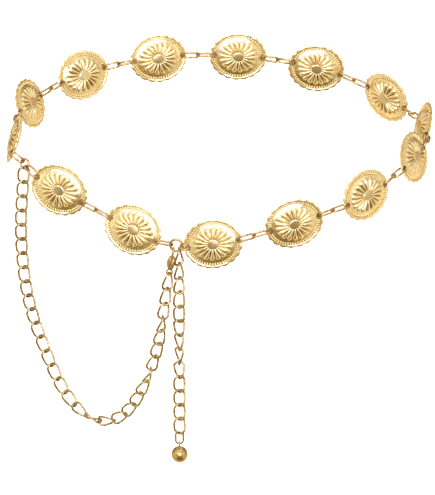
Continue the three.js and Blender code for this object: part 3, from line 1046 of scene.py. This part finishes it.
# The studio. Sizes and places in metres.
studio = {
    "floorZ": -0.42,
    "floorSize": 14,
    "paper": (0.93, 0.93, 0.92),
    "paperRough": 0.9,
    "paperGlow": 1,
    "roomColour": (0.21, 0.145, 0.055),
    "glows": [
        {"towards": (0.05, -0.9135, 0.4067), "full": 12, "gone": 29,
         "colour": (1, 1, 1.12), "strength": 2.1},
        {"towards": (0, -0.9135, 0.4067), "full": 25, "gone": 70,
         "colour": (1, 0.90, 0.66), "strength": 0.30},
        {"towards": (0.38, -0.80, 0.52), "full": 3, "gone": 7,
         "colour": (1, 1, 1.15), "strength": 11},
        {"towards": (-0.42, -0.76, 0.60), "full": 3, "gone": 7,
         "colour": (1, 1, 1.15), "strength": 9},
        {"towards": (0, 0.5, -0.85), "full": 35, "gone": 78,
         "colour": (1, 0.77, 0.42), "strength": 0.62},
        {"towards": (0, 0.8, 0.6), "full": 10, "gone": 40,
         "colour": (1, 0.96, 0.9), "strength": 0.35},
        {"towards": (-1, -0.15, -0.05), "full": 28, "gone": 65,
         "colour": (1, 0.90, 0.72), "strength": 0.62},
        {"towards": (1, -0.15, -0.05), "full": 28, "gone": 65,
         "colour": (1, 0.90, 0.72), "strength": 0.62},
        {"towards": (0, 0, 1), "full": 25, "gone": 60,
         "colour": (1, 0.97, 0.92), "strength": 0.7},
    ],
    "lights": [
        {"name": "topSoftbox", "place": (0, -0.1, 1.3), "size": (1.5, 1.2),
         "watts": 2.5, "colour": (1, 0.98, 0.94)},
        {"name": "leftSoftbox", "place": (-1.2, -0.7, 0.5), "size": (0.6, 1.2),
         "watts": 0.8, "colour": (1, 0.98, 0.95)},
        {"name": "rightSoftbox", "place": (1.2, -0.6, 0.4), "size": (0.6, 1.2),
         "watts": 0.6, "colour": (1, 0.97, 0.93)},
    ],
}


# A dim warm room with soft round glows. Each shines fully within full degrees of its direction
# and is gone outside gone.
def addRoom():
    world = bpy.data.worlds.new("studioRoom")
    world.use_nodes = True
    nodes, links = world.node_tree.nodes, world.node_tree.links
    direction = nodes.new("ShaderNodeTexCoord").outputs["Generated"]
    light = nodes.new("ShaderNodeRGB").outputs[0]
    light.default_value = (*studio["roomColour"], 1)
    for row in studio["glows"]:
        dot = nodes.new("ShaderNodeVectorMath")
        dot.operation = 'DOT_PRODUCT'
        links.new(direction, dot.inputs[0])
        dot.inputs[1].default_value = Vector(row["towards"]).normalized()
        spread = nodes.new("ShaderNodeMapRange")
        spread.interpolation_type = 'SMOOTHSTEP'
        spread.inputs["From Min"].default_value = math.cos(math.radians(row["gone"]))
        spread.inputs["From Max"].default_value = math.cos(math.radians(row["full"]))
        links.new(dot.outputs["Value"], spread.inputs["Value"])
        glow = nodes.new("ShaderNodeVectorMath")
        glow.operation = 'MULTIPLY_ADD'
        glow.inputs[1].default_value = Vector(row["colour"]) * row["strength"]
        links.new(spread.outputs["Result"], glow.inputs[0])
        links.new(light, glow.inputs[2])
        light = glow.outputs[0]
    links.new(light, nodes["Background"].inputs["Color"])
    bpy.context.scene.world = world
    # Plain colours, as in the photograph.
    bpy.context.scene.view_settings.view_transform = 'Standard'


def addStudio():
    paper = bpy.data.materials.new("studioPaper")
    paper.use_nodes = True
    shader = paper.node_tree.nodes["Principled BSDF"]
    shader.inputs["Base Color"].default_value = (*studio["paper"], 1)
    shader.inputs["Roughness"].default_value = studio["paperRough"]
    shader.inputs["Emission Color"].default_value = (1, 1, 1, 1)
    shader.inputs["Emission Strength"].default_value = studio["paperGlow"]
    bpy.ops.mesh.primitive_plane_add(
        size=studio["floorSize"], location=(0, 0, studio["floorZ"]))
    floor = bpy.context.object
    floor.name = "studioFloor"
    applyPlace(floor)
    floor.data.materials.append(paper)
    floor.visible_glossy = False  # the metal mirrors the room alone
    floor.visible_diffuse = False
    addRoom()
    aim = Vector(cameraView["aim"])
    for row in studio["lights"]:
        bpy.ops.object.light_add(type='AREA', location=row["place"])
        light = bpy.context.object
        light.name = row["name"]
        light.data.shape = 'RECTANGLE'
        light.data.size, light.data.size_y = row["size"]
        light.data.energy = row["watts"]
        light.data.color = row["colour"]
        light.rotation_euler = (aim - light.location).to_track_quat('-Z', 'Y').to_euler()


def addCamera():
    tilt = math.radians(cameraView["elevation"])
    look = Vector((0, math.cos(tilt), -math.sin(tilt)))
    data = bpy.data.cameras.new("photoCamera")
    data.sensor_fit = 'VERTICAL'
    data.sensor_height = cameraView["sensor"]
    data.lens = cameraView["lens"]
    data.clip_end = cameraView["clipEnd"]
    camera = bpy.data.objects.new("photoCamera", data)
    bpy.context.scene.collection.objects.link(camera)
    camera.location = Vector(cameraView["aim"]) - look * cameraView["distance"]
    camera.rotation_euler = look.to_track_quat('-Z', 'Y').to_euler()
    bpy.context.scene.camera = camera


addStudio()
addCamera()
bpy.ops.object.select_all(action='DESELECT')
print("studio and camera made")
